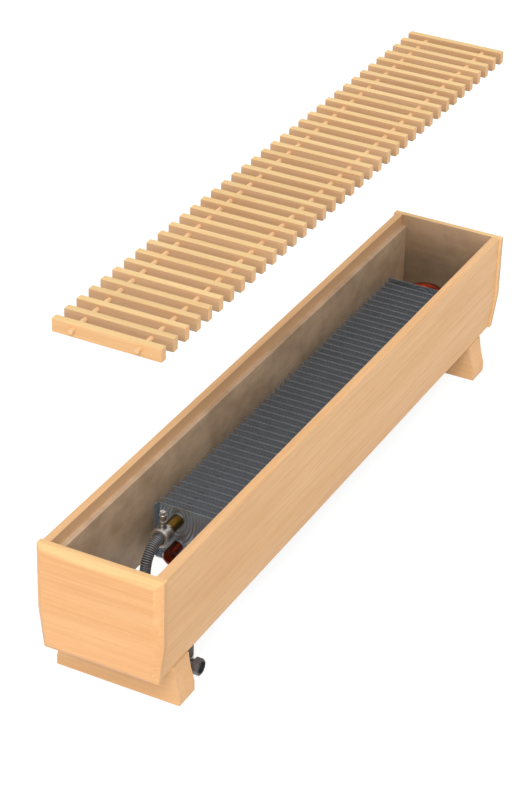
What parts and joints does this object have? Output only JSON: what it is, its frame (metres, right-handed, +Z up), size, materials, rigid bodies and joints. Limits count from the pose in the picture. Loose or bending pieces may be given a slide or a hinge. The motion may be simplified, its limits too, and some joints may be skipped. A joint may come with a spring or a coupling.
{
  "type": "freestanding convector heater",
  "caption": "Long low water-fed convector heater: finned copper-tube exchanger in an open-bottomed wooden case on two feet, under a lift-off slatted wooden grille.",
  "frame": {"origin": "on the floor, under the middle of the case", "axes": "+Z up; +X along the case, away from the end with the pipe connections; the union nuts point to -Y"},
  "size_m": [1, 0.17, 0.4923],
  "materials": {
    "board_wood": "oiled",
    "end_wood": "oiled",
    "foot_wood": "oiled",
    "slat_wood": "oiled",
    "dowel_wood": "plain",
    "fin_sheet": "satin",
    "plate_sheet": "galvanised",
    "copper": "dull copper",
    "bar_steel": "galvanised",
    "screw_steel": "zinc plated",
    "fitting_brass": "turned",
    "nickel_brass": "nickel plated",
    "ring_steel": "turned",
    "dark_sleeve": "dark",
    "hose_rubber": "ribbed",
    "black_nut": "black",
    "cap_plastic": "matt",
    "seal_rubber": "flat"
  },
  "bodies": {
    "case": {"front_board": "board_wood", "back_board": "board_wood", "near_end_board": "end_wood", "far_end_board": "end_wood", "corner_dowels": "dowel_wood", "near_foot": "foot_wood", "far_foot": "foot_wood", "foot_screws": "screw_steel", "fins": "fin_sheet", "near_end_plate": "plate_sheet", "far_end_plate": "plate_sheet", "copper_tubes": "copper", "far_bends": "copper", "near_bend": "copper", "support_bars": "bar_steel", "bar_screws": "screw_steel", "plate_screws": "screw_steel", "supply_header": "fitting_brass", "header_nut": "nickel_brass", "hose_adapter": "nickel_brass", "hose_nut": "ring_steel", "vent_body": "nickel_brass", "hose_ferrules": "dark_sleeve", "supply_hose": "hose_rubber", "lockshield_body": "nickel_brass", "return_pipe": "copper", "return_elbow": "nickel_brass", "nut_seals": "seal_rubber", "valve_bracket": "bar_steel", "valve_locknut": "nickel_brass", "return_bracket": "bar_steel", "bracket_screws": "screw_steel"},
    "grille": {"grille_slats": "slat_wood", "grille_rods": "dowel_wood"},
    "vent_screw": {"vent_screw": "ring_steel"},
    "lockshield_cap": {"lockshield_cap": "cap_plastic"},
    "lockshield_spindle": {"lockshield_spindle": "fitting_brass"},
    "supply_nut": {"supply_nut": "black_nut"},
    "return_nut": {"return_nut": "black_nut"}
  },
  "joints": [
    {"name": "grille_lift", "type": "slide", "parent": "case", "child": "grille", "axis": [0, 0, 1], "range_m": [-0.29, 0]},
    {"name": "vent_turn", "type": "hinge", "parent": "case", "child": "vent_screw", "pos_m": [-0.3105, 0.02, 0.155], "axis": [0, 0, 1], "range_deg": [0, 360]},
    {"name": "cap_turn", "type": "hinge", "parent": "case", "child": "lockshield_cap", "pos_m": [-0.4, -0.06275, 0.0425], "axis": [0, 0, 1], "range_deg": [0, 720]},
    {"name": "spindle_turn", "type": "hinge", "parent": "case", "child": "lockshield_spindle", "pos_m": [-0.4, -0.06275, 0.036], "axis": [0, 0, 1], "range_deg": [0, 1080]},
    {"name": "supply_nut_turn", "type": "hinge", "parent": "case", "child": "supply_nut", "pos_m": [-0.4, -0.0798, 0.022], "axis": [0, -1, 0], "continuous": true},
    {"name": "return_nut_turn", "type": "hinge", "parent": "case", "child": "return_nut", "pos_m": [-0.35, -0.0363, 0.03], "axis": [0, -1, 0], "continuous": true}
  ]
}
